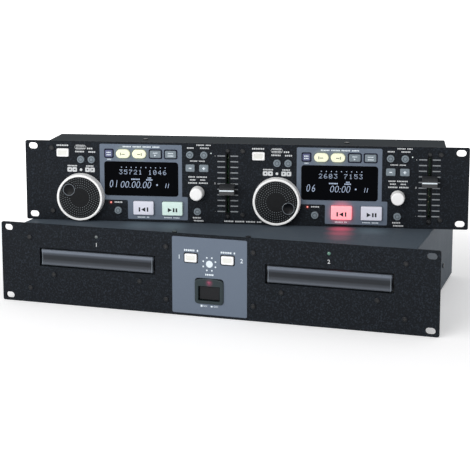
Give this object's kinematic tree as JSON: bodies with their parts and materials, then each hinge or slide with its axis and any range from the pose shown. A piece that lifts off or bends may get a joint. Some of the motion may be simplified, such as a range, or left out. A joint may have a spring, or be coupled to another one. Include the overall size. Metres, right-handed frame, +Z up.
{
  "type": "dual disc player with remote controller",
  "caption": "Rack-width disc player with motorised disc trays, and a remote controller with jog wheels, faders and lit keys standing on its lid.",
  "frame": {"origin": "on the surface the drive stands on, under the middle of the whole set's box", "axes": "+X to the right along the drive's front panel, -Y out of its front, +Z up"},
  "size_m": [0.4942, 0.2688, 0.1766],
  "materials": {
    "panel_black": "fine textured black paint",
    "case_black": "satin black paint",
    "screw_black": "black oxide",
    "bezel_black": "satin moulded",
    "loader_black": "moulded",
    "board_green": "coated board",
    "socket_black": "moulded",
    "window_black": "polished smoked window",
    "tray_satin": "satin grey moulded",
    "key_white": "satin white moulded",
    "key_grey": "satin blue-grey moulded",
    "key_amber": "lit translucent cap",
    "key_cue": "translucent cap",
    "key_cue_lit": "translucent cap, lit",
    "key_play": "translucent cap",
    "ring_white": "satin white moulded",
    "jog_black": "soft-touch, ringed dots",
    "shaft_steel": "turned",
    "fader_black": "satin moulded"
  },
  "bodies": {
    "drive": {"drive_front_panel": "panel_black", "drive_chassis": "case_black", "drive_lid": "case_black", "drive_screws": "screw_black", "power_switch_bezel": "bezel_black", "disc_loaders": "loader_black", "drive_electronics": "board_green", "rear_sockets": "socket_black"},
    "controller": {"controller_panel": "panel_black", "controller_case": "case_black", "controller_screws": "screw_black", "display_windows": "window_black", "controller_electronics": "board_green"},
    "tray_1": {"tray_1": "tray_satin"},
    "open_button_1": {"open_button_1": "key_white"},
    "tray_2": {"tray_2": "tray_satin"},
    "open_button_2": {"open_button_2": "key_white"},
    "power_button": {"power_button": "bezel_black"},
    "open_key_1": {"open_key_1": "key_white"},
    "mode_key_1": {"mode_key_1": "key_grey"},
    "time_key_1": {"time_key_1": "key_grey"},
    "sampler_key_1": {"sampler_key_1": "key_grey"},
    "loop_in_key_1": {"loop_in_key_1": "key_amber"},
    "loop_out_key_1": {"loop_out_key_1": "key_amber"},
    "exit_key_1": {"exit_key_1": "key_grey"},
    "reloop_key_1": {"reloop_key_1": "key_grey"},
    "title_key_1": {"title_key_1": "key_grey"},
    "pitch_key_1": {"pitch_key_1": "key_grey"},
    "bend_minus_key_1": {"bend_minus_key_1": "key_grey"},
    "bend_plus_key_1": {"bend_plus_key_1": "key_grey"},
    "brake_key_1": {"brake_key_1": "key_grey"},
    "cue_key_1": {"cue_key_1": "key_cue"},
    "play_key_1": {"play_key_1": "key_play"},
    "memo_key_1": {"memo_key_1": "key_grey"},
    "shuttle_ring_1": {"shuttle_ring_1": "ring_white"},
    "jog_disc_1": {"jog_disc_1": "jog_black"},
    "select_shaft_1": {"select_shaft_1": "shaft_steel"},
    "select_knob_1": {"select_knob_1": "key_white"},
    "fader_cap_1": {"fader_cap_1": "fader_black"},
    "open_key_2": {"open_key_2": "key_white"},
    "mode_key_2": {"mode_key_2": "key_grey"},
    "time_key_2": {"time_key_2": "key_grey"},
    "sampler_key_2": {"sampler_key_2": "key_grey"},
    "loop_in_key_2": {"loop_in_key_2": "key_amber"},
    "loop_out_key_2": {"loop_out_key_2": "key_amber"},
    "exit_key_2": {"exit_key_2": "key_grey"},
    "reloop_key_2": {"reloop_key_2": "key_grey"},
    "title_key_2": {"title_key_2": "key_grey"},
    "pitch_key_2": {"pitch_key_2": "key_grey"},
    "bend_minus_key_2": {"bend_minus_key_2": "key_grey"},
    "bend_plus_key_2": {"bend_plus_key_2": "key_grey"},
    "brake_key_2": {"brake_key_2": "key_grey"},
    "cue_key_2": {"cue_key_2": "key_cue_lit"},
    "play_key_2": {"play_key_2": "key_play"},
    "memo_key_2": {"memo_key_2": "key_grey"},
    "shuttle_ring_2": {"shuttle_ring_2": "ring_white"},
    "jog_disc_2": {"jog_disc_2": "jog_black"},
    "select_shaft_2": {"select_shaft_2": "shaft_steel"},
    "select_knob_2": {"select_knob_2": "key_white"},
    "fader_cap_2": {"fader_cap_2": "fader_black"}
  },
  "joints": [
    {"name": "controller_lift", "type": "slide", "parent": "drive", "child": "controller", "axis": [0, 0, 1], "range_m": [0, 0.15]},
    {"name": "tray_1_slide", "type": "slide", "parent": "drive", "child": "tray_1", "axis": [0, -1, 0], "range_m": [0, 0.136]},
    {"name": "open_button_1_press", "type": "slide", "parent": "drive", "child": "open_button_1", "axis": [0, 1, 0], "range_m": [0, 0.0008], "stiffness_N_per_m": 150, "springref_m": -0.002},
    {"name": "tray_2_slide", "type": "slide", "parent": "drive", "child": "tray_2", "axis": [0, -1, 0], "range_m": [0, 0.136]},
    {"name": "open_button_2_press", "type": "slide", "parent": "drive", "child": "open_button_2", "axis": [0, 1, 0], "range_m": [0, 0.0008], "stiffness_N_per_m": 150, "springref_m": -0.002},
    {"name": "power_button_press", "type": "slide", "parent": "drive", "child": "power_button", "axis": [0, 1, 0], "range_m": [0, 0.0025], "stiffness_N_per_m": 150, "springref_m": -0.002},
    {"name": "open_key_1_press", "type": "slide", "parent": "controller", "child": "open_key_1", "axis": [-0.1805, 0.9836, 0], "range_m": [0, 0.0008], "stiffness_N_per_m": 150, "springref_m": -0.002},
    {"name": "mode_key_1_press", "type": "slide", "parent": "controller", "child": "mode_key_1", "axis": [-0.1805, 0.9836, 0], "range_m": [0, 0.0008], "stiffness_N_per_m": 150, "springref_m": -0.002},
    {"name": "time_key_1_press", "type": "slide", "parent": "controller", "child": "time_key_1", "axis": [-0.1805, 0.9836, 0], "range_m": [0, 0.0008], "stiffness_N_per_m": 150, "springref_m": -0.002},
    {"name": "sampler_key_1_press", "type": "slide", "parent": "controller", "child": "sampler_key_1", "axis": [-0.1805, 0.9836, 0], "range_m": [0, 0.0008], "stiffness_N_per_m": 150, "springref_m": -0.002},
    {"name": "loop_in_key_1_press", "type": "slide", "parent": "controller", "child": "loop_in_key_1", "axis": [-0.1805, 0.9836, 0], "range_m": [0, 0.0008], "stiffness_N_per_m": 150, "springref_m": -0.002},
    {"name": "loop_out_key_1_press", "type": "slide", "parent": "controller", "child": "loop_out_key_1", "axis": [-0.1805, 0.9836, 0], "range_m": [0, 0.0008], "stiffness_N_per_m": 150, "springref_m": -0.002},
    {"name": "exit_key_1_press", "type": "slide", "parent": "controller", "child": "exit_key_1", "axis": [-0.1805, 0.9836, 0], "range_m": [0, 0.0008], "stiffness_N_per_m": 150, "springref_m": -0.002},
    {"name": "reloop_key_1_press", "type": "slide", "parent": "controller", "child": "reloop_key_1", "axis": [-0.1805, 0.9836, 0], "range_m": [0, 0.0008], "stiffness_N_per_m": 150, "springref_m": -0.002},
    {"name": "title_key_1_press", "type": "slide", "parent": "controller", "child": "title_key_1", "axis": [-0.1805, 0.9836, 0], "range_m": [0, 0.0008], "stiffness_N_per_m": 150, "springref_m": -0.002},
    {"name": "pitch_key_1_press", "type": "slide", "parent": "controller", "child": "pitch_key_1", "axis": [-0.1805, 0.9836, 0], "range_m": [0, 0.0008], "stiffness_N_per_m": 150, "springref_m": -0.002},
    {"name": "bend_minus_key_1_press", "type": "slide", "parent": "controller", "child": "bend_minus_key_1", "axis": [-0.1805, 0.9836, 0], "range_m": [0, 0.0008], "stiffness_N_per_m": 150, "springref_m": -0.002},
    {"name": "bend_plus_key_1_press", "type": "slide", "parent": "controller", "child": "bend_plus_key_1", "axis": [-0.1805, 0.9836, 0], "range_m": [0, 0.0008], "stiffness_N_per_m": 150, "springref_m": -0.002},
    {"name": "brake_key_1_press", "type": "slide", "parent": "controller", "child": "brake_key_1", "axis": [-0.1805, 0.9836, 0], "range_m": [0, 0.0008], "stiffness_N_per_m": 150, "springref_m": -0.002},
    {"name": "cue_key_1_press", "type": "slide", "parent": "controller", "child": "cue_key_1", "axis": [-0.1805, 0.9836, 0], "range_m": [0, 0.0008], "stiffness_N_per_m": 150, "springref_m": -0.002},
    {"name": "play_key_1_press", "type": "slide", "parent": "controller", "child": "play_key_1", "axis": [-0.1805, 0.9836, 0], "range_m": [0, 0.0008], "stiffness_N_per_m": 150, "springref_m": -0.002},
    {"name": "memo_key_1_press", "type": "slide", "parent": "controller", "child": "memo_key_1", "axis": [-0.1805, 0.9836, 0], "range_m": [0, 0.0008], "stiffness_N_per_m": 150, "springref_m": -0.002},
    {"name": "shuttle_ring_1_turn", "type": "hinge", "parent": "controller", "child": "shuttle_ring_1", "pos_m": [-0.16604, -0.09723, 0.1144], "axis": [0.1805, -0.9836, 0], "range_deg": [-45, 45], "stiffness_Nm_per_rad": 0.02},
    {"name": "jog_disc_1_turn", "type": "hinge", "parent": "controller", "child": "jog_disc_1", "pos_m": [-0.16604, -0.09723, 0.1144], "axis": [0.1805, -0.9836, 0], "continuous": true},
    {"name": "select_knob_1_press", "type": "slide", "parent": "controller", "child": "select_shaft_1", "axis": [-0.1805, 0.9836, 0], "range_m": [0, 0.0006], "stiffness_N_per_m": 300, "springref_m": -0.002},
    {"name": "select_knob_1_turn", "type": "hinge", "parent": "select_shaft_1", "child": "select_knob_1", "pos_m": [-0.03876, -0.07387, 0.1214], "axis": [0.1805, -0.9836, 0], "continuous": true},
    {"name": "fader_cap_1_slide", "type": "slide", "parent": "controller", "child": "fader_cap_1", "axis": [0, 0, 1], "range_m": [-0.024, 0.036]},
    {"name": "open_key_2_press", "type": "slide", "parent": "controller", "child": "open_key_2", "axis": [-0.1805, 0.9836, 0], "range_m": [0, 0.0008], "stiffness_N_per_m": 150, "springref_m": -0.002},
    {"name": "mode_key_2_press", "type": "slide", "parent": "controller", "child": "mode_key_2", "axis": [-0.1805, 0.9836, 0], "range_m": [0, 0.0008], "stiffness_N_per_m": 150, "springref_m": -0.002},
    {"name": "time_key_2_press", "type": "slide", "parent": "controller", "child": "time_key_2", "axis": [-0.1805, 0.9836, 0], "range_m": [0, 0.0008], "stiffness_N_per_m": 150, "springref_m": -0.002},
    {"name": "sampler_key_2_press", "type": "slide", "parent": "controller", "child": "sampler_key_2", "axis": [-0.1805, 0.9836, 0], "range_m": [0, 0.0008], "stiffness_N_per_m": 150, "springref_m": -0.002},
    {"name": "loop_in_key_2_press", "type": "slide", "parent": "controller", "child": "loop_in_key_2", "axis": [-0.1805, 0.9836, 0], "range_m": [0, 0.0008], "stiffness_N_per_m": 150, "springref_m": -0.002},
    {"name": "loop_out_key_2_press", "type": "slide", "parent": "controller", "child": "loop_out_key_2", "axis": [-0.1805, 0.9836, 0], "range_m": [0, 0.0008], "stiffness_N_per_m": 150, "springref_m": -0.002},
    {"name": "exit_key_2_press", "type": "slide", "parent": "controller", "child": "exit_key_2", "axis": [-0.1805, 0.9836, 0], "range_m": [0, 0.0008], "stiffness_N_per_m": 150, "springref_m": -0.002},
    {"name": "reloop_key_2_press", "type": "slide", "parent": "controller", "child": "reloop_key_2", "axis": [-0.1805, 0.9836, 0], "range_m": [0, 0.0008], "stiffness_N_per_m": 150, "springref_m": -0.002},
    {"name": "title_key_2_press", "type": "slide", "parent": "controller", "child": "title_key_2", "axis": [-0.1805, 0.9836, 0], "range_m": [0, 0.0008], "stiffness_N_per_m": 150, "springref_m": -0.002},
    {"name": "pitch_key_2_press", "type": "slide", "parent": "controller", "child": "pitch_key_2", "axis": [-0.1805, 0.9836, 0], "range_m": [0, 0.0008], "stiffness_N_per_m": 150, "springref_m": -0.002},
    {"name": "bend_minus_key_2_press", "type": "slide", "parent": "controller", "child": "bend_minus_key_2", "axis": [-0.1805, 0.9836, 0], "range_m": [0, 0.0008], "stiffness_N_per_m": 150, "springref_m": -0.002},
    {"name": "bend_plus_key_2_press", "type": "slide", "parent": "controller", "child": "bend_plus_key_2", "axis": [-0.1805, 0.9836, 0], "range_m": [0, 0.0008], "stiffness_N_per_m": 150, "springref_m": -0.002},
    {"name": "brake_key_2_press", "type": "slide", "parent": "controller", "child": "brake_key_2", "axis": [-0.1805, 0.9836, 0], "range_m": [0, 0.0008], "stiffness_N_per_m": 150, "springref_m": -0.002},
    {"name": "cue_key_2_press", "type": "slide", "parent": "controller", "child": "cue_key_2", "axis": [-0.1805, 0.9836, 0], "range_m": [0, 0.0008], "stiffness_N_per_m": 150, "springref_m": -0.002},
    {"name": "play_key_2_press", "type": "slide", "parent": "controller", "child": "play_key_2", "axis": [-0.1805, 0.9836, 0], "range_m": [0, 0.0008], "stiffness_N_per_m": 150, "springref_m": -0.002},
    {"name": "memo_key_2_press", "type": "slide", "parent": "controller", "child": "memo_key_2", "axis": [-0.1805, 0.9836, 0], "range_m": [0, 0.0008], "stiffness_N_per_m": 150, "springref_m": -0.002},
    {"name": "shuttle_ring_2_turn", "type": "hinge", "parent": "controller", "child": "shuttle_ring_2", "pos_m": [0.04642, -0.05823, 0.1144], "axis": [0.1805, -0.9836, 0], "range_deg": [-45, 45], "stiffness_Nm_per_rad": 0.02},
    {"name": "jog_disc_2_turn", "type": "hinge", "parent": "controller", "child": "jog_disc_2", "pos_m": [0.04642, -0.05823, 0.1144], "axis": [0.1805, -0.9836, 0], "continuous": true},
    {"name": "select_knob_2_press", "type": "slide", "parent": "controller", "child": "select_shaft_2", "axis": [-0.1805, 0.9836, 0], "range_m": [0, 0.0006], "stiffness_N_per_m": 300, "springref_m": -0.002},
    {"name": "select_knob_2_turn", "type": "hinge", "parent": "select_shaft_2", "child": "select_knob_2", "pos_m": [0.17369, -0.03488, 0.1214], "axis": [0.1805, -0.9836, 0], "continuous": true},
    {"name": "fader_cap_2_slide", "type": "slide", "parent": "controller", "child": "fader_cap_2", "axis": [0, 0, 1], "range_m": [-0.037, 0.023]}
  ]
}
